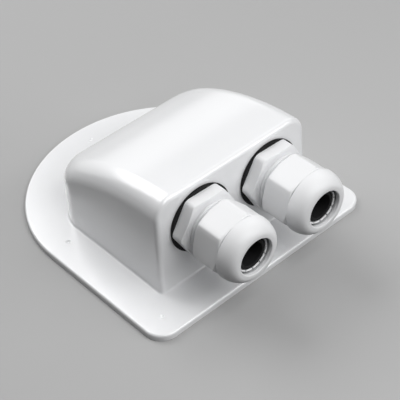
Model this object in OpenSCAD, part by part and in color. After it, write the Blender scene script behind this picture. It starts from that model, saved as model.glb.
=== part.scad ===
// Roof entry box for two cables: a moulded housing on a D-shaped flange, with two cable glands.
// It stands on the underside of the flange, and the cables leave towards -Y.

/* [Flange] */
// Width of the flange
flange_w = 120; // [110:1:160]
// Length of the flange, from its straight front edge to the back of its arc
flange_l = 130; // [124:1:170]
// Length of the curved back part
flange_arc_l = 57.7; // [40:0.1:60]
// Thickness of the flange
flange_t = 3; // [2:0.1:5]
// Radius of the two front corners
flange_corner_r = 8.7; // [4:0.1:14]
// Rounding of the upper rim
flange_rim_r = 1.1; // [0.4:0.1:1.8]
// Width of a drill mark
mark_d = 2.6; // [1:0.1:4]
// Depth of a drill mark
mark_depth = 0.7; // [0.2:0.1:1.2]
// Distance of the drill marks from the flange's edges
mark_inset = 10; // [7:0.5:13]

/* [Housing] */
// Width of the housing at its base
box_w = 84.3; // [80:0.1:96]
// Length of the housing at its base
box_l = 74.5; // [60:0.5:90]
// Distance of the front wall from the flange's front edge
box_setback = 19; // [16:0.5:30]
// Height of the front wall's top edge above the roof
box_h = 51.5; // [51:0.5:60]
// Height at which the back wall turns into the top
back_wall_h = 18.6; // [16:0.1:24]
// Radius where the top turns down into the back wall
back_edge_r = 16; // [12:0.5:22]
// Radius of the two upright corners at the back
back_corner_r = 17; // [14:0.5:26]
// Radius between the top and the side walls, at the front
side_edge_r = 9.5; // [6:0.5:12]
// Radius between the top and the side walls, at the back
side_edge_back_r = 9.5; // [8:0.5:14]
// Rounding round the front wall
front_edge_r = 2.2; // [1:0.1:3]
// Lean of the side and back walls, for the mould
draft_deg = 1.2; // [0:0.1:3]
// Thickness of the walls
wall_t = 2.6; // [2:0.1:3.5]

/* [Glands] */
// Distance from the middle to each gland's axis
gland_x = 19.2; // [18:0.1:21]
// Depth of the glands' axes below the front wall's top edge
gland_drop = 19.3; // [18.6:0.1:21]
// Width across the flats of the body's hexagon
body_af = 28; // [27:0.1:28.6]
// Thickness of the body's hexagon
body_hex_t = 5.7; // [4:0.1:7]
// Outer diameter of the thread that goes through the wall
wall_thread_d = 22.5; // [21:0.1:23]
// Outer diameter of the thread that carries the cap
cap_thread_d = 24.2; // [23.6:0.1:24.4]
// Advance of the cap for one turn
cap_pitch = 2; // [1:0.1:2.5]
// Gap between the body's hexagon and the cap, as the cap stands now
cap_gap = 4.3; // [3.6:0.1:4.8]
// Length of the thread that stands out past the locknut
thread_end_l = 3.2; // [1:0.1:6]
// Width of the groove beside the body's hexagon
undercut_l = 0.6; // [0.3:0.1:1]
// Width of the first ridge of the cap thread
ridge_l = 1; // [0.6:0.1:1.4]
// Width of the groove behind that ridge
groove_l = 1.1; // [0.6:0.1:1.4]
// Depth of the grooves
thread_relief = 0.9; // [0.4:0.1:1.2]
// Diameter of the bore behind the seal
rear_bore_d = 14.4; // [12:0.1:15]
// Turn of the bodies' hexagons about their axes
body_turn_deg = 58; // [0:1:59]
// Turn of the caps' hexagons about their axes
cap_turn_deg = 15; // [0:1:59]

/* [Claws] */
// Width of the slots between the claws
claw_slot_w = 0.9; // [0.6:0.1:1.2]
// Thickness of the claws at their tips
claw_tip_wall = 0.7; // [0.6:0.1:1.2]
// Distance of the claws' tips from the cap's end, with the cap one turn tighter
claw_tip_gap = 0.4; // [0.3:0.1:1.2]
// Length of the straight part of the claws
claw_straight_l = 2.3; // [1.5:0.1:3]

/* [Gasket] */
// Outer diameter of the gasket
gasket_d = 31.4; // [31:0.1:34]
// Thickness of the gasket
gasket_t = 1.3; // [1:0.1:2.5]

/* [Locknut] */
// Width across the flats of the locknut
nut_af = 27; // [26:0.1:30]
// Thickness of the locknut
nut_t = 5; // [4:0.1:7]

/* [Cap] */
// Width across the flats of the cap
cap_af = 27; // [26.6:0.1:28]
// Length of the cap's six flats
cap_flat_l = 14.2; // [12:0.1:16]
// Length of the cap's domed end
cap_dome_l = 8; // [7:0.1:10]
// Diameter of the dome where it leaves the flats
dome_d = 29; // [28.2:0.1:29.4]
// Diameter of the flat ring at the dome's end
dome_end_d = 19.4; // [18.6:0.1:21]
// Diameter of the cap's mouth
mouth_d = 16.8; // [15.6:0.1:17.2]
// Length of the straight wall of the mouth
mouth_l = 1.6; // [1.4:0.1:2.4]
// Amount that the cap's six corners are turned off
corner_cut = 0.6; // [0.3:0.1:1]
// Chamfer round the cap's open end
cap_chamfer = 0.8; // [0.3:0.1:1.2]
// Slope from the six corners down to the dome
corner_slope_l = 1.6; // [1:0.1:3]
// Rounding at the foot of the dome
dome_foot = 0.4; // [0.2:0.1:0.6]

/* [Seal] */
// Diameter of the cable that the seal fits
cable_d = 11; // [8:0.1:11.6]
// Outer diameter of the seal's thick end
seal_d = 17.8; // [17:0.1:18.4]
// Distance of the seal's face behind the tips of the claws
seal_inset = 0.2; // [0.1:0.1:1]

/* [Hidden] */

// Overrun of every cut, and the clearances between the pieces
cut = 1;
fit_gap = 0.1;
run_gap = 0.3;

// Steps round the curves
arc_steps = 24;
corner_steps = 8;
edge_steps = 5;
curve_steps = 12;
fillet_steps = 9;
top_steps = 6;

// Places along Y: the part's middle is the origin, from the caps' ends to the flange's back
cap_base_d = gasket_t + body_hex_t + cap_gap;
gland_reach = cap_base_d + cap_flat_l + cap_dome_l;
overhang = gland_reach - box_setback;
flange_front_y = overhang / 2 - flange_l / 2;
flange_back_y = flange_front_y + flange_l;
arc_y = flange_back_y - flange_arc_l;
face_y = flange_front_y + box_setback;
gland_z = box_h - gland_drop;

// Radius of the top's long curve: it is level at the front and meets the curve into the back wall
top_fall = box_h - back_wall_h;
top_curve_r = (pow(box_l - back_edge_r, 2) + pow(top_fall, 2) - pow(back_edge_r, 2))
    / (top_fall - back_edge_r) / 2;

// The plate: one closed ring of points at height z, drawn in from the edge
function arc_points(centre, radii, from, to, steps) = [
    for (i = [0:steps])
        let (a = from + (to - from) * i / steps)
        [centre.x + radii.x * cos(a), centre.y + radii.y * sin(a)]
];

function plate_ring(inset, z) =
    let (
        r = flange_corner_r - inset,
        corner_x = flange_w / 2 - flange_corner_r,
        corner_y = flange_front_y + flange_corner_r,
        outline = concat(
            arc_points([-corner_x, corner_y], [r, r], 180, 270, corner_steps),
            arc_points([corner_x, corner_y], [r, r], 270, 360, corner_steps),
            arc_points([0, arc_y], [flange_w / 2 - inset, flange_arc_l - inset], 0, 180, arc_steps * 2)
        )
    )
    [for (p = outline) [p.x, p.y, z]];

// The housing's top line: a long curve, then a tighter one down into the back wall
function top_z(u, in) =
    let (
        big_r = top_curve_r - in,
        small_r = back_edge_r - in,
        big_z = box_h - top_curve_r,
        small_u = box_l - back_edge_r,
        meet_u = big_r * small_u / (big_r - small_r)
    )
    u < meet_u
        ? big_z + sqrt(pow(big_r, 2) - pow(u, 2))
        : back_wall_h + sqrt(max(0, pow(small_r, 2) - pow(u - small_u, 2)));

// Half of the housing's width at a distance u behind the front wall
function half_w(u, in) =
    let (
        r = back_corner_r - in,
        past = u - (box_l - back_corner_r)
    )
    past <= 0
        ? box_w / 2 - in
        : box_w / 2 - back_corner_r + sqrt(max(0, pow(r, 2) - pow(past, 2)));

// One upright section of the housing, across X, as a closed ring of points
function box_ring(u, shrink, in, foot_z) =
    let (
        z = top_z(u, in) - shrink,
        r = side_edge_r + (side_edge_back_r - side_edge_r) * u / box_l - in - shrink,
        lean = tan(draft_deg),
        foot = half_w(u, in) - shrink + (0 - foot_z) * lean,
        shoulder = foot - (z - r - foot_z) * lean - r,
        lean_back = lean * pow(u / box_l, 4),
        right = concat(
            [[foot, foot_z]],
            arc_points([shoulder, z - r], [r, r], 0, 90, fillet_steps),
            [for (i = [1:top_steps - 1]) [shoulder * (1 - i / top_steps), z]]
        ),
        left = [for (p = right) [-p.x, p.y]],
        back_again = [for (i = [len(right) - 1:-1:0]) right[i]],
        outline = concat(left, [[0, z]], back_again)
    )
    [for (p = outline) [p.x, face_y + u - p.y * lean_back, p.y]];

// Distances behind the front wall at which the sections stand
function stations(in) =
    let (
        tight = min(back_edge_r, back_corner_r) - in,
        bend_u = box_l - in - tight,
        start = max(in, front_edge_r)
    )
    concat(
        [for (i = [0:curve_steps]) start + (bend_u - start) * i / curve_steps],
        [for (i = [1:curve_steps]) bend_u + tight * sin(90 * i / curve_steps)]
    );

// Solid through a row of closed rings with equal counts of points
module loft(rings) {
    n = len(rings[0]);
    last = (len(rings) - 1) * n;
    polyhedron(
        points = [for (ring = rings) each ring],
        faces = concat(
            [[for (i = [0:n - 1]) i]],
            [
                for (k = [0:len(rings) - 2], i = [0:n - 1])
                    let (a = k * n + i, b = k * n + (i + 1) % n)
                    each [[a, a + n, b], [b, a + n, b + n]]
            ],
            [[for (i = [n - 1:-1:0]) last + i]]
        )
    );
}

module flange_plate() {
    loft(concat(
        [plate_ring(0, 0)],
        [
            for (i = [0:edge_steps])
                let (a = 90 * i / edge_steps)
                plate_ring(flange_rim_r * (1 - cos(a)), flange_t - flange_rim_r * (1 - sin(a)))
        ]
    ));
}

module box_outside() {
    rounded = [
        for (i = [0:edge_steps - 1])
            let (a = 90 * i / edge_steps)
            box_ring(front_edge_r * (1 - cos(a)), front_edge_r * (1 - sin(a)), 0, 0)
    ];
    loft(concat(rounded, [for (u = stations(0)) box_ring(u, 0, 0, 0)]));
}

module box_inside() {
    loft([for (u = stations(wall_t)) box_ring(u, 0, wall_t, -cut)]);
}

// Puts its children on a gland's axis: their z is the distance outside the front wall
module at_gland(side) {
    translate([side * gland_x, face_y, gland_z])
        rotate([90, 0, 0])
            children();
}

module housing() {
    mark_x = flange_w / 2 - mark_inset;
    front_mark_y = flange_front_y + mark_inset;
    back_mark_y = flange_back_y - mark_inset;
    color("white")
        difference() {
            union() {
                flange_plate();
                box_outside();
            }
            box_inside();
            for (side = [-1, 1])
                at_gland(side)
                    translate([0, 0, -wall_t - cut])
                        cylinder(d = wall_thread_d + 2 * fit_gap, h = wall_t + 2 * cut, $fn = 96);
            for (place = [
                [-mark_x, front_mark_y], [mark_x, front_mark_y],
                [-mark_x, arc_y], [mark_x, arc_y],
                [0, back_mark_y]
            ])
                translate([place.x, place.y, flange_t - mark_depth])
                    cylinder(d1 = 0, d2 = mark_d * 2, h = mark_depth * 2, $fn = 32);
        }
}

// Profile of a turned piece, as half outlines: [radius, z]
module turned(profile) {
    rotate_extrude($fn = 96)
        polygon(profile);
}

// Radius of a hexagon's corners, from its width across the flats
function corner_radius(af) = af / 2 / cos(30);

// Hexagonal prism whose ends are turned down, by shares of the corners' height over the flats
module hex_prism(af, h, turn_deg, low_share, high_share) {
    corner_r = corner_radius(af);
    low_chamfer = (corner_r - af / 2) * low_share;
    high_chamfer = (corner_r - af / 2) * high_share;
    intersection() {
        rotate(turn_deg)
            cylinder(r = corner_r, h = h, $fn = 6);
        turned([
            [0, 0],
            [corner_r - low_chamfer, 0],
            [corner_r, low_chamfer * tan(30)],
            [corner_r, h - high_chamfer * tan(30)],
            [corner_r - high_chamfer, h],
            [0, h]
        ]);
    }
}

// Places along a gland's axis, counted outwards from the front wall's outer face
hex_base_d = gasket_t;
hex_middle_d = hex_base_d + body_hex_t / 2;
hex_top_d = hex_base_d + body_hex_t;
hex_chamfer_share = 1.2;
hex_base_share = 0.3;
nut_chamfer_share = 0.9;
claw_root_share = 0.68;
seat_share = 0.5;
spigot_l = wall_t + nut_t + thread_end_l;
flat_end_d = cap_base_d + cap_flat_l;
cap_end_d = flat_end_d + cap_dome_l;
ridge_d = hex_top_d + undercut_l + thread_relief / 2;
thread_d = ridge_d + ridge_l + groove_l + thread_relief;
claw_count = 12;
claw_root_d = cap_base_d + cap_flat_l * claw_root_share;
claw_bend_d = claw_root_d + claw_straight_l;
claw_neck_d = cap_end_d - mouth_l - cap_pitch;
claw_tip_d = cap_end_d - cap_pitch - claw_tip_gap;
thread_end_d = claw_root_d - 3 * claw_slot_w;
thread_r = cap_thread_d / 2;
neck_r = thread_r - thread_relief;
claw_outer_r = mouth_d / 2 - run_gap;
claw_inner_r = claw_outer_r - claw_tip_wall;
seal_neck_r = claw_inner_r - run_gap;
body_bore_r = seal_d / 2 + run_gap;
seal_seat_d = hex_top_d + body_hex_t * seat_share;
seal_back_d = seal_seat_d + cap_pitch + run_gap;

// Gland body: hexagon, threads, bored through, with a crown of slit claws at the outer end
module gland_body(side) {
    color("white")
        at_gland(side)
            difference() {
                union() {
                    translate([0, 0, hex_base_d])
                        hex_prism(body_af, body_hex_t, body_turn_deg, hex_base_share, hex_chamfer_share);
                    translate([0, 0, -spigot_l])
                        cylinder(d = wall_thread_d, h = spigot_l + hex_middle_d, $fn = 96);
                    turned([
                        [0, hex_middle_d],
                        [neck_r, hex_middle_d],
                        [neck_r, ridge_d - thread_relief / 2],
                        [thread_r, ridge_d],
                        [thread_r, ridge_d + ridge_l],
                        [neck_r, ridge_d + ridge_l + thread_relief / 2],
                        [neck_r, thread_d - thread_relief / 2],
                        [thread_r, thread_d],
                        [thread_r, thread_end_d],
                        [neck_r, thread_end_d + thread_relief],
                        [neck_r, claw_root_d],
                        [neck_r - thread_relief, claw_bend_d],
                        [claw_outer_r, claw_neck_d],
                        [claw_outer_r, claw_tip_d],
                        [0, claw_tip_d]
                    ]);
                }
                turned([
                    [0, -spigot_l - cut],
                    [rear_bore_d / 2, -spigot_l - cut],
                    [rear_bore_d / 2, seal_seat_d],
                    [body_bore_r, seal_seat_d],
                    [body_bore_r, claw_bend_d],
                    [claw_inner_r, claw_neck_d],
                    [claw_inner_r, claw_tip_d + cut],
                    [0, claw_tip_d + cut]
                ]);
                for (i = [0:claw_count - 1])
                    rotate(360 / claw_count * i)
                        translate([0, -claw_slot_w / 2, claw_root_d - claw_slot_w])
                            cube([cap_thread_d, claw_slot_w, claw_tip_d]);
            }
}

// Gasket between the front wall and the body's hexagon
module gasket(side) {
    color("dimgray")
        at_gland(side)
            difference() {
                cylinder(d = gasket_d, h = gasket_t, $fn = 96);
                translate([0, 0, -cut])
                    cylinder(d = wall_thread_d + 2 * fit_gap, h = gasket_t + 2 * cut, $fn = 96);
            }
}

// Locknut on the inner face of the front wall
module locknut(side) {
    color("white")
        at_gland(side)
            translate([0, 0, -wall_t - nut_t])
                difference() {
                    hex_prism(nut_af, nut_t, 0, nut_chamfer_share, 0);
                    translate([0, 0, -cut])
                        cylinder(d = wall_thread_d + 2 * fit_gap, h = nut_t + 2 * cut, $fn = 96);
                }
}

// Rubber seal: a sleeve with a thick end in the body's bore and a neck between the claws
module seal(side) {
    seal_front_d = claw_tip_d - seal_inset;
    shoulder_d = claw_bend_d - 2 * cap_pitch - run_gap;
    color("black")
        at_gland(side)
            difference() {
                turned([
                    [0, seal_back_d],
                    [seal_d / 2, seal_back_d],
                    [seal_d / 2, shoulder_d],
                    [seal_neck_r, shoulder_d + seal_d / 2 - seal_neck_r],
                    [seal_neck_r, seal_front_d],
                    [0, seal_front_d]
                ]);
                translate([0, 0, seal_back_d - cut])
                    cylinder(d = cable_d, h = seal_front_d - seal_back_d + 2 * cut, $fn = 96);
            }
}

// Cap: six flats with rounded corners, a domed end with a round mouth, a wide thread bore
module cap(side) {
    corner_r = corner_radius(cap_af) - corner_cut;
    dome_r = dome_d / 2;
    bore_r = thread_r + run_gap;
    color("white")
        at_gland(side)
            difference() {
                union() {
                    intersection() {
                        translate([0, 0, cap_base_d])
                            rotate(cap_turn_deg)
                                cylinder(r = corner_radius(cap_af), h = cap_flat_l, $fn = 6);
                        turned([
                            [0, cap_base_d],
                            [corner_r - cap_chamfer, cap_base_d],
                            [corner_r, cap_base_d + cap_chamfer],
                            [corner_r, flat_end_d - corner_slope_l],
                            [dome_r, flat_end_d],
                            [0, flat_end_d]
                        ]);
                    }
                    turned(concat(
                        [[0, flat_end_d - dome_foot], [dome_r - dome_foot, flat_end_d - dome_foot]],
                        [
                            for (i = [0:curve_steps])
                                let (a = 90 * i / curve_steps)
                                [
                                    dome_end_d / 2 + (dome_r - dome_end_d / 2) * cos(a),
                                    flat_end_d + cap_dome_l * sin(a)
                                ]
                        ],
                        [[0, cap_end_d]]
                    ));
                }
                turned([
                    [0, cap_base_d - cut],
                    [bore_r, cap_base_d - cut],
                    [bore_r, flat_end_d - dome_foot],
                    [mouth_d / 2, cap_end_d - mouth_l],
                    [mouth_d / 2, cap_end_d + cut],
                    [0, cap_end_d + cut]
                ]);
            }
}

housing();
gland_body(-1);  // gland_body_left
gasket(-1);  // gasket_left
locknut(-1);  // locknut_left
seal(-1);  // seal_left
cap(-1);  // cap_left
gland_body(1);  // gland_body_right
gasket(1);  // gasket_right
locknut(1);  // locknut_right
seal(1);  // seal_right
cap(1);  // cap_right
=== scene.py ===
import math

import bmesh
import bpy
from mathutils import Euler, Matrix, Vector


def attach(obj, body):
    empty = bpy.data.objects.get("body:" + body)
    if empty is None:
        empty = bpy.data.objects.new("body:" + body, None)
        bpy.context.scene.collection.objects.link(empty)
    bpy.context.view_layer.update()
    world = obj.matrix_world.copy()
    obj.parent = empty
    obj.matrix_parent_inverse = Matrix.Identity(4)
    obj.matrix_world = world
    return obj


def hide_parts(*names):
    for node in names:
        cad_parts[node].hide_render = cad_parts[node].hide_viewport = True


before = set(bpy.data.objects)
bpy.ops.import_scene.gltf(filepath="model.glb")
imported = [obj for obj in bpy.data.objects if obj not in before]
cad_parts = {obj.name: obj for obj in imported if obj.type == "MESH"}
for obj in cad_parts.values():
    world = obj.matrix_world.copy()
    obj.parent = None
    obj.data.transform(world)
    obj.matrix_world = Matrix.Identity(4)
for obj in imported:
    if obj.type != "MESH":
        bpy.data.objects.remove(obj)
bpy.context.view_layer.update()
print("packed part loaded")

layout = {
    "metres": 0.001,       # in one millimetre
    "merge": 0.0005,       # corners closer than this become one
    "near": 0.01,          # heights this close count as the same
    "frontWallY": -38.75,  # outer face of the front wall
    "glandX": 19.2,        # each gland's axis, from the middle
    "glandZ": 32.2,        # height of the axes above the roof
}

# the camera, fitted to the outlines in the photo
cameraLook = {
    "aim": (-3.925, -21.183, 20.0),
    "distance": 543.716,
    "azimuth": -39.236,
    "elevation": 42.192,
    "roll": -4.394,
    "lens": 115.084,
    "sensor": 36,
    "clipStart": 10,
}


def addCamera(look):
    tilt, swing = math.radians(90 - look["elevation"]), math.radians(look["azimuth"])
    turn = Euler((tilt, 0, swing)).to_matrix().to_4x4()
    roll = Matrix.Rotation(math.radians(look["roll"]), 4, "Z")
    back = turn.to_3x3() @ Vector((0, 0, 1))
    place = (Vector(look["aim"]) + back * look["distance"]) * layout["metres"]
    data = bpy.data.cameras.new("photoCamera")
    data.lens = look["lens"]
    data.sensor_width = look["sensor"]
    data.clip_start = look["clipStart"] * layout["metres"]
    camera = bpy.data.objects.new("photoCamera", data)
    camera.matrix_world = Matrix.Translation(place) @ turn @ roll
    bpy.context.scene.collection.objects.link(camera)
    bpy.context.scene.camera = camera


addCamera(cameraLook)


class Wire:
    # A socket that can be reckoned with: an expression on wires adds its Math nodes.
    def __init__(self, graph, socket):
        self.graph = graph
        self.socket = socket

    def reckon(self, operation, first, second):
        return self.graph.add("ShaderNodeMath", {"operation": operation}, {0: first, 1: second})

    def __add__(self, other):
        return self.reckon("ADD", self, other)

    __radd__ = __add__

    def __sub__(self, other):
        return self.reckon("SUBTRACT", self, other)

    def __rsub__(self, other):
        return self.reckon("SUBTRACT", other, self)

    def __mul__(self, other):
        return self.reckon("MULTIPLY", self, other)

    __rmul__ = __mul__


class Graph:
    # A node tree with one method that adds any node; the others call it.
    def __init__(self, tree):
        self.tree = tree
        tree.nodes.clear()

    def add(self, kind, settings=None, inputs=None, output=0):
        node = self.tree.nodes.new(kind)
        for key, value in (settings or {}).items():
            setattr(node, key, value)
        for key, value in (inputs or {}).items():
            socket = node.inputs[key]
            if isinstance(value, Wire):
                self.tree.links.new(value.socket, socket)
            else:
                socket.default_value = value
        return Wire(self, node.outputs[output]) if node.outputs else None

    def noise(self, vector, scale, detail, roughness=0.5):
        return self.add("ShaderNodeTexNoise", {}, {
            "Vector": vector, "Scale": scale, "Detail": detail, "Roughness": roughness,
        })

    def spread(self, value, low, high, least=0.3, most=0.7):
        # a noise stays mostly between least and most, and this makes that low to high
        return self.add("ShaderNodeMapRange", {"clamp": True}, {
            "Value": value, "From Min": least, "From Max": most, "To Min": low, "To Max": high,
        })


def newMaterial(name):
    material = bpy.data.materials.new(name)
    material.use_nodes = True
    return material, Graph(material.node_tree)


studio = {
    "floorShade": 0.45,   # what the camera and reflections see of the floor
    "floorBounce": 0.08,  # what the floor gives back to the object
    "floorReach": 3000,   # from the middle to each side
    "floorDrop": 0.2,     # below the flange, so that the two faces don't flicker
    "worldShade": (0.02, 0.02, 0.0202, 1),
    "lamps": [
        # name, place, aim, width, height, watts
        ("back", (-50, 500, 550), (0, 0, 20), 580, 480, 3.2),
        ("lowBack", (150, 850, 250), (0, 0, 25), 1300, 420, 1.55),
        ("front", (15, -440, 560), (0, 0, 20), 560, 420, 3.0),
        ("rightFront", (420, -620, 360), (0, -20, 25), 360, 420, 1.6),
        ("overhead", (0, 0, 700), (0, 0, 20), 340, 620, 0.35),
        ("right", (420, 60, 480), (0, 0, 20), 260, 460, 0.4),
    ],
}


def addFloor(look):
    bm = bmesh.new()
    reach = look["floorReach"] * layout["metres"]
    bmesh.ops.create_grid(bm, x_segments=2, y_segments=2, size=reach)
    mesh = bpy.data.meshes.new("floor")
    bm.to_mesh(mesh)
    bm.free()
    mesh.transform(Matrix.Translation((0, 0, -look["floorDrop"] * layout["metres"])))
    floor = bpy.data.objects.new("floor", mesh)
    bpy.context.scene.collection.objects.link(floor)
    material, graph = newMaterial("paleFloor")
    seen = 0
    for ray in ("Is Camera Ray", "Is Glossy Ray", "Is Transmission Ray"):
        light = graph.add("ShaderNodeLightPath", {}, {}, ray)
        seen = graph.add("ShaderNodeMath", {"operation": "MAXIMUM"}, {0: seen, 1: light})
    shade = seen * (look["floorShade"] - look["floorBounce"]) + look["floorBounce"]
    surface = graph.add("ShaderNodeBsdfDiffuse", {}, {"Color": shade})
    graph.add("ShaderNodeOutputMaterial", {}, {"Surface": surface})
    floor.data.materials.append(material)


def addLamps(look):
    for name, place, aim, width, height, watts in look["lamps"]:
        data = bpy.data.lights.new(name, "AREA")
        data.shape = "RECTANGLE"
        data.size = width * layout["metres"]
        data.size_y = height * layout["metres"]
        data.energy = watts
        lamp = bpy.data.objects.new(name, data)
        away = (Vector(place) - Vector(aim)) * layout["metres"]
        lamp.rotation_euler = away.to_track_quat("Z", "Y").to_euler()
        lamp.location = Vector(place) * layout["metres"]
        bpy.context.scene.collection.objects.link(lamp)
    world = bpy.data.worlds.new("softRoom")
    world.use_nodes = True
    bpy.context.scene.world = world
    graph = Graph(world.node_tree)
    glow = graph.add("ShaderNodeBackground", {}, {"Color": look["worldShade"], "Strength": 1.0})
    graph.add("ShaderNodeOutputWorld", {}, {"Surface": glow})


addFloor(studio)
addLamps(studio)
bpy.context.scene.view_settings.view_transform = "Standard"
print("camera, floor and lamps set")


# the two white plastics differ in shade and gloss, and share the texture of the moulding
plasticLook = {
    "housing": {
        "shade": 0.93, "tint": (0.991, 0.998, 1.012), "gloss": (0.18, 0.23), "ior": 1.72,
        "coat": 0.5, "coatRough": 0.25, "grain": 0.006, "sink": 0.02,
    },
    "gland": {
        "shade": 0.86, "tint": (0.993, 0.999, 1.011), "gloss": (0.36, 0.44), "ior": 1.45,
        "coat": 0.0, "coatRough": 0.2, "grain": 0.02, "sink": 0.02,
    },
}

plasticTexture = {
    # scale and detail of each noise, and its roughness where it isn't a half
    "cloud": (26, 3),        # slow changes in the moulding's white
    "speck": (420, 2),
    "haze": (60, 4, 0.6),    # where the gloss is duller
    "waves": (34, 1),        # the walls sink a little as they cool
    "pores": (2600, 2, 0.6),
    "cloudTone": 0.015, "speckTone": 0.003, "speckGloss": 0.015,
    "waveDepth": 2, "poreDepth": 0.2,
}


def makePlastic(name, look, texture):
    material, graph = newMaterial(name)
    where = graph.add("ShaderNodeTexCoord", {}, {}, "Object")
    speck = graph.noise(where, *texture["speck"])
    cloud = graph.noise(where, *texture["cloud"])
    tone = graph.spread(cloud, look["shade"] - texture["cloudTone"], look["shade"])
    tone = tone - graph.spread(speck, 0, texture["speckTone"])
    red, green, blue = (tone * part for part in look["tint"])
    colour = graph.add("ShaderNodeCombineColor", {}, {"Red": red, "Green": green, "Blue": blue})
    haze = graph.noise(where, *texture["haze"])
    rough = graph.spread(haze, *look["gloss"]) + graph.spread(speck, 0, texture["speckGloss"])
    pores = graph.add("ShaderNodeBump", {}, {
        "Strength": look["grain"], "Distance": texture["poreDepth"] * layout["metres"],
        "Height": graph.noise(where, *texture["pores"]),
    }, "Normal")
    waves = graph.add("ShaderNodeBump", {}, {
        "Strength": look["sink"], "Distance": texture["waveDepth"] * layout["metres"],
        "Height": graph.noise(where, *texture["waves"]), "Normal": pores,
    }, "Normal")
    surface = graph.add("ShaderNodeBsdfPrincipled", {}, {
        "Base Color": colour, "Roughness": rough, "IOR": look["ior"], "Normal": waves,
        "Coat Weight": look["coat"], "Coat Roughness": look["coatRough"],
    })
    graph.add("ShaderNodeOutputMaterial", {}, {"Surface": surface})
    return material


rubberLook = {
    "shade": (0.004, 0.010), "blue": 1.08, "rough": (0.68, 0.84), "ior": 1.36,
    "dust": (130, 4, 0.65), "scuff": (500, 2), "pores": (5200, 2, 0.6),
    "grain": 0.2, "poreDepth": 0.1,
}


def makeRubber(name, look):
    material, graph = newMaterial(name)
    where = graph.add("ShaderNodeTexCoord", {}, {}, "Object")
    tone = graph.spread(graph.noise(where, *look["dust"]), *look["shade"])
    colour = graph.add("ShaderNodeCombineColor", {}, {
        "Red": tone, "Green": tone, "Blue": tone * look["blue"],
    })
    rough = graph.spread(graph.noise(where, *look["scuff"]), *look["rough"])
    pores = graph.add("ShaderNodeBump", {}, {
        "Strength": look["grain"], "Distance": look["poreDepth"] * layout["metres"],
        "Height": graph.noise(where, *look["pores"]),
    }, "Normal")
    surface = graph.add("ShaderNodeBsdfPrincipled", {}, {
        "Base Color": colour, "Roughness": rough, "IOR": look["ior"], "Normal": pores,
    })
    graph.add("ShaderNodeOutputMaterial", {}, {"Surface": surface})
    return material


housingPlastic = makePlastic("housingPlastic", plasticLook["housing"], plasticTexture)
glandPlastic = makePlastic("glandPlastic", plasticLook["gland"], plasticTexture)
blackRubber = makeRubber("blackRubber", rubberLook)
print("materials made")


# the steps that several pieces share
def finishPiece(bm, name, body, node, material, sharpAngle, faceWeight=60):
    bmesh.ops.remove_doubles(bm, verts=bm.verts, dist=layout["merge"])
    bmesh.ops.recalc_face_normals(bm, faces=bm.faces)
    bmesh.ops.scale(bm, verts=bm.verts, vec=[layout["metres"]] * 3)
    openEdges = sum(1 for edge in bm.edges if len(edge.link_faces) != 2)
    print(name, len(bm.faces), "faces,", openEdges, "edges not between two faces")
    mesh = bpy.data.meshes.new(name)
    bm.to_mesh(mesh)
    bm.free()
    mesh.shade_smooth()
    mesh.set_sharp_from_angle(angle=math.radians(sharpAngle))
    mesh.materials.append(material)
    piece = bpy.data.objects.new(name, mesh)
    bpy.context.scene.collection.objects.link(piece)
    shading = piece.modifiers.new("evenShading", "WEIGHTED_NORMAL")
    shading.keep_sharp = True
    shading.weight = faceWeight
    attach(piece, body)
    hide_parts(node)


def absorb(bm, part):
    mesh = bpy.data.meshes.new("draft")
    part.to_mesh(mesh)
    part.free()
    bm.from_mesh(mesh)
    bpy.data.meshes.remove(mesh)


def edgesIn(items):
    return [item for item in items if isinstance(item, bmesh.types.BMEdge)]


def vertsIn(items):
    return [item for item in items if isinstance(item, bmesh.types.BMVert)]


def ontoGland(side, y):
    # lays what stands on the origin on a gland's axis, with Z outwards
    place = Matrix.Translation((side * layout["glandX"], y, layout["glandZ"]))
    return place @ Matrix.Rotation(math.pi / 2, 4, "X")


def placeOnGlands(bm, name, body, node, material, sharpAngle):
    # a gland's piece is made once, and each side gets a copy
    for side, word in ((-1, "left"), (1, "right")):
        copy = bm.copy()
        matrix = ontoGland(side, layout["frontWallY"])
        bmesh.ops.transform(copy, matrix=matrix, verts=copy.verts)
        finishPiece(copy, name + word.capitalize(), body.format(word), node + "_" + word,
                    material, sharpAngle)
    bm.free()


def drawOutline(bm, points):
    # a closed line through points given as distance along the axis and radius
    corners = [bm.verts.new((radius, 0, along)) for along, radius in points]
    return corners, [bm.edges.new(pair) for pair in zip(corners, corners[1:] + corners[:1])]


def lathe(points, steps=192, finest=None, roundSteps=5):
    # points: (distance along the axis, radius, rounding) of a closed outline
    bm = bmesh.new()
    corners, _ = drawOutline(bm, [point[:2] for point in points])
    for size in sorted({rounding for along, radius, rounding in points if rounding}):
        chosen = [vert for vert, point in zip(corners, points)
                  if point[2] == size and vert.is_valid]
        bmesh.ops.bevel(bm, geom=chosen, offset=size, offset_type="OFFSET", affect="VERTICES",
                        segments=roundSteps, profile=0.5, material=-1)
    if finest:
        for edge in list(bm.edges):
            cuts = int(edge.calc_length() / finest)
            if cuts:
                bmesh.ops.subdivide_edges(bm, edges=[edge], cuts=cuts)
    bmesh.ops.spin(bm, geom=bm.verts[:] + bm.edges[:], cent=(0, 0, 0), axis=(0, 0, 1),
                   angle=math.tau, steps=steps, use_merge=True)
    bmesh.ops.remove_doubles(bm, verts=bm.verts, dist=layout["merge"])
    return bm


def softMin(first, second, blend):
    lap = max(blend - abs(first - second), 0) / blend
    return min(first, second) - lap * lap * blend / 4


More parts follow.
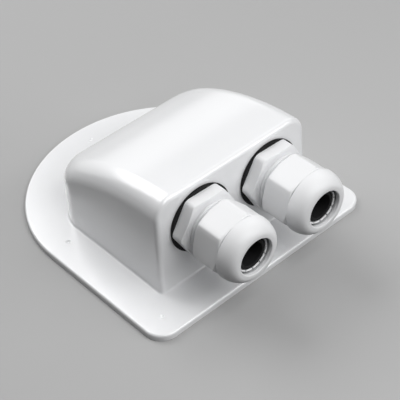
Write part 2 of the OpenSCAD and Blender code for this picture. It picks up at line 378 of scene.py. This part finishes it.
def cutFlats(bm, shape, low, high):
    # presses the outside between two heights into a hexagon with softened corners
    for vert in bm.verts:
        radius = math.hypot(vert.co.x, vert.co.y)
        if not low <= vert.co.z <= high or radius <= shape["inside"]:
            continue
        angle = math.degrees(math.atan2(vert.co.y, vert.co.x)) - shape["turn"]
        flat = shape["across"] / 2 / math.cos(math.radians((angle % 60) - 30))
        ratio = softMin(radius, flat, shape["blend"]) / radius
        vert.co.x *= ratio
        vert.co.y *= ratio


def makeThread(look, steps=64, buried=0.3, slant=0.45):
    # a ridge wound round the core, closed at both ends, with its foot buried in the core
    bm = bmesh.new()
    core = look["radius"] - look["depth"]
    half = look["width"] / 2
    wide = half + look["depth"] * slant
    made, ring = drawOutline(bm, [(look["start"] + along, radius) for along, radius in (
        (-wide, core - buried), (-wide, core), (-half, look["radius"]),
        (half, look["radius"]), (wide, core), (wide, core - buried),
    )])
    turnStart = Matrix.Rotation(math.radians(look["turnStart"]), 4, "Z")
    bmesh.ops.transform(bm, matrix=turnStart, verts=made)
    spun = bmesh.ops.spin(bm, geom=made + ring, cent=(0, 0, 0), axis=(0, 0, 1),
                          dvec=(0, 0, look["pitch"] / steps), angle=math.tau * look["turns"],
                          steps=int(steps * look["turns"]))
    bmesh.ops.holes_fill(bm, edges=ring + edgesIn(spun["geom_last"]), sides=0)
    return bm


# the housing is one moulding: the flange, the walls and the hollow below
flangeShape = {
    "width": 120, "frontY": -57.75, "arcY": 14.55, "arcLength": 57.7, "thickness": 3,
    "cornerRadius": 8.7, "cornerSteps": 12, "arcSteps": 72, "rimRadius": 1.1, "rimSteps": 6,
    "marks": [(-50, -47.75), (50, -47.75), (-50, 14.55), (50, 14.55), (0, 62.25)],
    "markWidth": 2.6, "markDepth": 0.7, "markSteps": 24,
    "markRings": [(0.85, 0.12), (0.55, 0.55), (0.2, 0.95)],  # shares of the radius and the depth
}

housingShape = {
    "width": 84.3, "length": 74.5, "height": 51.5, "wall": 2.6, "holeDiameter": 22.7,
    "backHeight": 18.6, "backEdge": 16, "backCorner": 17, "sideEdge": 9.5, "frontEdge": 2.2,
    "lean": 1.2, "leanSpread": 4, "footFillet": 0.9,
    # how many faces each stretch gets
    "upWall": 14, "roundEdge": 16, "acrossTop": 14, "alongTop": 40, "roundBack": 26,
    "roundFront": 8, "roundFoot": 6, "roundHole": 64,
    "sharpAngle": 30,
}


def topHeight(u, inset, shape):
    # a long curve, level at the front, that meets the tighter one into the back wall
    fall = shape["height"] - shape["backHeight"]
    smallU = shape["length"] - shape["backEdge"]
    spare = fall - shape["backEdge"]
    topRadius = (smallU ** 2 + fall ** 2 - shape["backEdge"] ** 2) / spare / 2
    big, small = topRadius - inset, shape["backEdge"] - inset
    if u < big * smallU / (big - small):
        return shape["height"] - topRadius + math.sqrt(big ** 2 - u ** 2)
    return shape["backHeight"] + math.sqrt(max(0, small ** 2 - (u - smallU) ** 2))


def halfWidth(u, inset, shape):
    radius = shape["backCorner"] - inset
    past = u - (shape["length"] - shape["backCorner"])
    if past <= 0:
        return shape["width"] / 2 - inset
    return shape["width"] / 2 - shape["backCorner"] + math.sqrt(max(0, radius ** 2 - past ** 2))


def sectionPoint(u, shrink, inset, footZ, stop, shape):
    # stop: 0..1 up the wall, 1..2 round the edge, 2..3 over to the middle; negative on the left
    top = topHeight(u, inset, shape) - shrink
    radius = shape["sideEdge"] - inset - shrink
    lean = math.tan(math.radians(shape["lean"]))
    foot = halfWidth(u, inset, shape) - shrink
    shoulder = foot - (top - radius) * lean - radius
    part = abs(stop)
    if part <= 1:
        z = footZ + (top - radius - footZ) * part
        x = foot - z * lean
    elif part <= 2:
        angle = math.radians(90 * (part - 1))
        x, z = shoulder + radius * math.cos(angle), top - radius + radius * math.sin(angle)
    else:
        x, z = shoulder * (3 - part), top
    # the back wall leans forwards too, and the sections before it less and less
    y = layout["frontWallY"] + u - z * lean * (u / shape["length"]) ** shape["leanSpread"]
    return Vector((math.copysign(x, stop), y, z))


def sectionStops(shape):
    wall = [i / shape["upWall"] for i in range(shape["upWall"])]
    edge = [1 + i / shape["roundEdge"] for i in range(shape["roundEdge"])]
    top = [2 + i / shape["acrossTop"] for i in range(shape["acrossTop"] + 1)]
    half = wall + edge + top
    # the left foot's stop is -0.0, which still says left
    return [-stop or -0.0 for stop in half] + half[-2::-1]


def stationsAlong(inset, shape):
    # from front to back: the distance from the front wall, and by how much the section shrinks
    tight = min(shape["backEdge"], shape["backCorner"]) - inset
    bend = shape["length"] - inset - tight
    start = max(inset, shape["frontEdge"])
    if inset:
        stations = []
    else:
        turns = [math.radians(90 * i / shape["roundFront"]) for i in range(shape["roundFront"])]
        stations = [(start * (1 - math.cos(turn)), start * (1 - math.sin(turn))) for turn in turns]
    stations += [(start + (bend - start) * i / shape["alongTop"], 0)
                 for i in range(shape["alongTop"] + 1)]
    stations += [(bend + tight * math.sin(math.pi / 2 * i / shape["roundBack"]), 0)
                 for i in range(1, shape["roundBack"] + 1)]
    return stations


def boundaryEdges(bm, z):
    return [edge for edge in bm.edges if len(edge.link_faces) < 2
            and all(abs(vert.co.z - z) < layout["near"] for vert in edge.verts)]


def addSkin(bm, inset, footZ, shape):
    # a grid bent over the housing; returns its edges round the front, the back and the foot
    stops, stations = sectionStops(shape), stationsAlong(inset, shape)
    across, along = len(stops) - 1, len(stations) - 1
    grid = bmesh.ops.create_grid(bm, x_segments=across, y_segments=along, size=1)["verts"]
    rows = {}
    for vert in grid:
        column, row = round((vert.co.x + 1) / 2 * across), round((vert.co.y + 1) / 2 * along)
        u, shrink = stations[row]
        vert.co = sectionPoint(u, shrink, inset, footZ, stops[column], shape)
        rows[column, row] = vert
    ends = {}
    for row in (0, along):
        closing = bm.edges.new((rows[0, row], rows[across, row]))
        edges = [bm.edges.get((rows[column, row], rows[column + 1, row]))
                 for column in range(across)]
        ends[row] = (edges + [closing], closing)
    feet = [bm.edges.get((rows[column, row], rows[column, row + 1]))
            for column in (0, across) for row in range(along)]
    return ends[0][0], ends[along][0], feet + [ends[0][1], ends[along][1]]


def fillFlat(bm, edges, normal):
    bmesh.ops.triangle_fill(bm, use_beauty=True, use_dissolve=False, edges=edges, normal=normal)


def addCircle(bm, steps, width, matrix):
    made = bmesh.ops.create_circle(bm, cap_ends=False, segments=steps, radius=width / 2,
                                   matrix=matrix)
    return list({edge for vert in made["verts"] for edge in vert.link_edges})


def addHoles(bm, y, shape):
    return [addCircle(bm, shape["roundHole"], shape["holeDiameter"], ontoGland(side, y))
            for side in (-1, 1)]


def growLoop(bm, loop, steps):
    # extrudes a loop outwards and down, by the given distances from where it starts
    bm.normal_update()
    start = {vert: (vert.co.copy(), Vector((vert.normal.x, vert.normal.y, 0)).normalized())
             for edge in loop for vert in edge.verts}
    for outward, drop in steps:
        before = {vert.co.copy().freeze(): vert for edge in loop for vert in edge.verts}
        made = bmesh.ops.extrude_edge_only(bm, edges=loop)["geom"]
        loop = edgesIn(made)
        grown = {}
        for vert in vertsIn(made):
            origin, away = start[before[vert.co.copy().freeze()]]
            grown[vert] = (origin, away)
            vert.co = origin + away * outward - Vector((0, 0, drop))
        start = grown
    return loop


def flangeOutline(bm, shape):
    half, radius = shape["width"] / 2, shape["cornerRadius"]
    arcs = []
    for x, begin in ((-half + radius, 180), (half - radius, 270)):
        centre = Vector((x, shape["frontY"] + radius, 0))
        spoke = Matrix.Rotation(math.radians(begin), 3, "Z") @ Vector((radius, 0, 0))
        first = bm.verts.new(centre + spoke)
        spun = bmesh.ops.spin(bm, geom=[first], cent=centre, axis=(0, 0, 1), angle=math.pi / 2,
                              steps=shape["cornerSteps"])
        arcs.append((first, vertsIn(spun["geom_last"])[0]))
    first = bm.verts.new((half, shape["arcY"], 0))
    before = set(bm.verts)
    spun = bmesh.ops.spin(bm, geom=[first], cent=(0, shape["arcY"], 0), axis=(0, 0, 1),
                          angle=math.pi, steps=shape["arcSteps"])
    bow = [vert for vert in bm.verts if vert not in before]
    bmesh.ops.scale(bm, verts=bow, vec=(1, shape["arcLength"] / half, 1),
                    space=Matrix.Translation((0, -shape["arcY"], 0)))
    arcs.append((first, vertsIn(spun["geom_last"])[0]))
    for (first, last), (following, _) in zip(arcs, arcs[1:] + arcs[:1]):
        bm.edges.new((last, following))


def addPlate(bm, shape):
    # the flange's rim: its outline is raised, rounded, and left open above and below
    plate = bmesh.new()
    flangeOutline(plate, shape)
    bottom = bmesh.ops.contextual_create(plate, geom=plate.edges[:])["faces"]
    raised = bmesh.ops.extrude_face_region(plate, geom=bottom, use_keep_orig=True)["geom"]
    bmesh.ops.translate(plate, verts=vertsIn(raised), vec=(0, 0, shape["thickness"]))
    rim = [edge for edge in plate.edges
           if all(vert.co.z > shape["thickness"] / 2 for vert in edge.verts)]
    bmesh.ops.bevel(plate, geom=rim, offset=shape["rimRadius"], offset_type="OFFSET",
                    affect="EDGES", segments=shape["rimSteps"], profile=0.5, material=-1,
                    clamp_overlap=False)
    flat = [face for face in plate.faces if len(face.verts) > 4]
    bmesh.ops.delete(plate, geom=flat, context="FACES_ONLY")
    absorb(bm, plate)


def addMarks(bm, shape):
    # shallow drill marks, sunk in the flange
    loops = []
    for x, y in shape["marks"]:
        place = Matrix.Translation((x, y, shape["thickness"]))
        loop = addCircle(bm, shape["markSteps"], shape["markWidth"], place)
        loops.extend(loop)
        sunk = loop
        for share, depth in shape["markRings"]:
            made = bmesh.ops.extrude_edge_only(bm, edges=sunk)["geom"]
            sunk = edgesIn(made)
            centre = Vector((x, y, shape["thickness"] - shape["markDepth"] * depth))
            for vert in vertsIn(made):
                away = (vert.co - Vector((x, y, vert.co.z))).normalized()
                vert.co = centre + away * shape["markWidth"] / 2 * share
        bmesh.ops.contextual_create(bm, geom=sunk)
    return loops


def makeHousing(shape, flange):
    bm = bmesh.new()
    footZ = flange["thickness"] + shape["footFillet"]
    front, back, feet = addSkin(bm, 0, footZ, shape)
    outerRings = addHoles(bm, layout["frontWallY"], shape)
    fillFlat(bm, front + outerRings[0] + outerRings[1], (0, -1, 0))
    fillFlat(bm, back, (0, 1, 0))
    turns = [math.radians(90 * i / shape["roundFoot"]) for i in range(1, shape["roundFoot"] + 1)]
    feet = growLoop(bm, feet, [
        (shape["footFillet"] * (1 - math.cos(turn)), shape["footFillet"] * math.sin(turn))
        for turn in turns
    ])
    addPlate(bm, flange)
    marks = addMarks(bm, flange)
    rim = boundaryEdges(bm, flange["thickness"])
    fillFlat(bm, list(set(rim) | set(feet) | set(marks)), (0, 0, 1))
    # the hollow's skin lies one wall further in
    front, back, feet = addSkin(bm, shape["wall"], 0, shape)
    innerRings = addHoles(bm, layout["frontWallY"] + shape["wall"], shape)
    fillFlat(bm, front + innerRings[0] + innerRings[1], (0, 1, 0))
    fillFlat(bm, back, (0, -1, 0))
    rim = boundaryEdges(bm, 0)
    fillFlat(bm, list(set(rim) | set(feet)), (0, 0, -1))
    for outer, inner in zip(outerRings, innerRings):
        bmesh.ops.bridge_loops(bm, edges=outer + inner)
    finishPiece(bm, "housingShell", "box", "housing", housingPlastic,
                shape["sharpAngle"])


makeHousing(housingShape, flangeShape)
print("housing made")


# the glands: heights along a gland's axis count outwards from the front wall, "corner" is the
# radius of a hexagon's turned corners, and cutFlats leaves what is within "inside" round
bodyShape = {
    "hexBase": 1.3, "hexTop": 7.0, "across": 28, "turn": 58, "corner": 15.75, "blend": 0.3,
    "inside": 12.4, "chamferHeight": 0.54, "chamferWidth": 1.9,
    "spigotEnd": -10.8, "spigotCore": 10.55, "rearBore": 7.2, "seat": 9.85, "bore": 9.2,
    "neck": 11.2, "coreEnd": 20.7,
    "claws": 12, "slot": 0.9, "clawSteps": 10, "clawRoot": 19.9, "clawFoot": 21.0,
    "clawBend": 23.26, "clawTaper": 0.9, "clawNeck": 29.9, "clawTip": 31.1, "clawEdge": 0.2,
    "clawOuter": 8.1, "clawInner": 7.4,
    "capThread": {
        "radius": 12.1, "depth": 0.9, "width": 0.8, "pitch": 2.0, "start": 5.8, "turns": 5.4,
        "turnStart": 0,
    },
    "wallThread": {
        "radius": 11.22, "depth": 0.65, "width": 0.35, "pitch": 1.5, "start": -10.2,
        "turns": 7.4, "turnStart": 40,
    },
    "finest": 0.7, "sharpAngle": 40,
}


def makeClaws(shape):
    # one claw is the wall's outline swung through its share of the circle, the others are copies
    bm = bmesh.new()
    tip, edge, bend = shape["clawTip"], shape["clawEdge"], shape["clawBend"]
    outer, inner = shape["clawOuter"], shape["clawInner"]
    outline, ring = drawOutline(bm, [
        (shape["clawRoot"], shape["bore"]), (shape["clawRoot"], shape["neck"]),
        (shape["clawFoot"], shape["neck"]), (bend, shape["neck"] - shape["clawTaper"]),
        (shape["clawNeck"], outer), (tip - edge, outer), (tip, outer - edge),
        (tip, inner + edge), (tip - edge, inner), (shape["clawNeck"], inner),
        (bend, shape["bore"]),
    ])
    share = math.tau / shape["claws"]
    spun = bmesh.ops.spin(bm, geom=outline + ring, cent=(0, 0, 0), axis=(0, 0, 1),
                          angle=share - shape["slot"] / shape["neck"], steps=shape["clawSteps"])
    bmesh.ops.holes_fill(bm, edges=ring + edgesIn(spun["geom_last"]), sides=0)
    bmesh.ops.spin(bm, geom=bm.verts[:] + bm.edges[:] + bm.faces[:], cent=(0, 0, 0),
                   axis=(0, 0, 1), angle=share * (shape["claws"] - 1),
                   steps=shape["claws"] - 1, use_duplicate=True)
    return bm


def makeBodies(shape):
    base, top, neck = shape["hexBase"], shape["hexTop"], shape["neck"]
    core, bore, rear = shape["spigotCore"], shape["bore"], shape["rearBore"]
    bm = lathe([
        (shape["spigotEnd"], rear, 0.3), (shape["spigotEnd"], core, 0.4), (base, core, 0),
        (base, shape["corner"], 0.25), (top - shape["chamferHeight"], shape["corner"], 0.2),
        (top, shape["corner"] - shape["chamferWidth"], 0.2), (top, neck, 0.2),
        (shape["coreEnd"], neck, 0), (shape["coreEnd"], bore, 0), (shape["seat"], bore, 0),
        (shape["seat"], rear, 0.2),
    ], finest=shape["finest"])
    cutFlats(bm, shape, base - layout["near"], top + layout["near"])
    absorb(bm, makeThread(shape["capThread"]))
    absorb(bm, makeThread(shape["wallThread"]))
    absorb(bm, makeClaws(shape))
    placeOnGlands(bm, "glandBody", "box", "gland_body", glandPlastic,
                  shape["sharpAngle"])


gasketShape = {"thickness": 1.3, "outer": 15.7, "inner": 11.35, "steps": 128, "sharpAngle": 50}


def makeGaskets(shape):
    bm = lathe([
        (0, shape["inner"], 0.15), (0, shape["outer"], 0.35),
        (shape["thickness"], shape["outer"], 0.35), (shape["thickness"], shape["inner"], 0.15),
    ], steps=shape["steps"])
    placeOnGlands(bm, "gasketRing", "box", "gasket", blackRubber,
                  shape["sharpAngle"])


nutShape = {
    "base": -7.6, "top": -2.6, "across": 27, "turn": 0, "corner": 15.4, "blend": 0.3,
    "inside": 12.2, "inner": 11.35, "chamferHeight": 0.88, "chamferWidth": 1.6,
    "finest": 0.5, "sharpAngle": 40,
}


def makeNuts(shape):
    base, top = shape["base"], shape["top"]
    bm = lathe([
        (base, shape["inner"], 0.4), (base, shape["corner"] - shape["chamferWidth"], 0.2),
        (base + shape["chamferHeight"], shape["corner"], 0.2), (top, shape["corner"], 0.15),
        (top, shape["inner"], 0.2),
    ], finest=shape["finest"])
    cutFlats(bm, shape, base - layout["near"], top + layout["near"])
    placeOnGlands(bm, "lockNut", "box", "locknut", glandPlastic,
                  shape["sharpAngle"])


sealShape = {
    "back": 12.15, "front": 30.9, "shoulder": 18.95, "outer": 8.9, "neck": 7.1, "cable": 5.5,
    "steps": 96, "sharpAngle": 50,
}


def makeSeals(shape):
    slope = shape["outer"] - shape["neck"]
    bm = lathe([
        (shape["back"], shape["cable"], 0.3), (shape["back"], shape["outer"], 0.3),
        (shape["shoulder"], shape["outer"], 0.4), (shape["shoulder"] + slope, shape["neck"], 0.4),
        (shape["front"], shape["neck"], 0.3), (shape["front"], shape["cable"], 0.3),
    ], steps=shape["steps"])
    placeOnGlands(bm, "cableSeal", "{}_seal", "seal", blackRubber,
                  shape["sharpAngle"])


capShape = {
    "base": 11.3, "flatEnd": 25.5, "end": 33.5, "across": 27, "turn": 15, "corner": 15.45,
    "blend": 1.1, "inside": 12.8, "chamfer": 1.1, "slope": 1.6,
    "creaseWidth": 0.45, "creaseDepth": 0.5, "creaseSlope": 0.25, "creaseEnd": 0.1,
    "domeFoot": 14.5, "domeEnd": 9.7, "domeSteps": 18,
    "mouth": 8.4, "mouthDepth": 1.6, "bore": 12.4, "boreEnd": 25.1,
    "finest": 0.35, "sharpAngle": 42,
}


def makeCaps(shape):
    base, flatEnd, end = shape["base"], shape["flatEnd"], shape["end"]
    dome = []
    for index in range(shape["domeSteps"] + 1):
        turn = math.pi / 2 * index / shape["domeSteps"]
        dome.append((
            flatEnd + (end - flatEnd) * math.sin(turn),
            shape["domeEnd"] + (shape["domeFoot"] - shape["domeEnd"]) * math.cos(turn), 0,
        ))
    crease = flatEnd - shape["creaseWidth"]
    creaseRadius = shape["across"] / 2 - shape["creaseDepth"]
    bm = lathe([
        (base, shape["bore"], 0.3), (base, shape["corner"] - shape["chamfer"], 0.25),
        (base + shape["chamfer"], shape["corner"], 0.25),
        (flatEnd - shape["slope"], shape["corner"], 0.35),
        (crease - shape["creaseSlope"], shape["domeFoot"], 0.1), (crease, creaseRadius, 0.1),
        (flatEnd - shape["creaseEnd"], creaseRadius, 0.1),
    ] + dome + [
        (end, shape["mouth"], 0.45), (end - shape["mouthDepth"], shape["mouth"], 0.2),
        (shape["boreEnd"], shape["bore"], 0.3),
    ], finest=shape["finest"])
    cutFlats(bm, shape, base - layout["near"], crease)
    placeOnGlands(bm, "glandCap", "{}_cap", "cap", glandPlastic,
                  shape["sharpAngle"])


makeBodies(bodyShape)
makeGaskets(gasketShape)
makeNuts(nutShape)
makeSeals(sealShape)
makeCaps(capShape)
print("glands made")
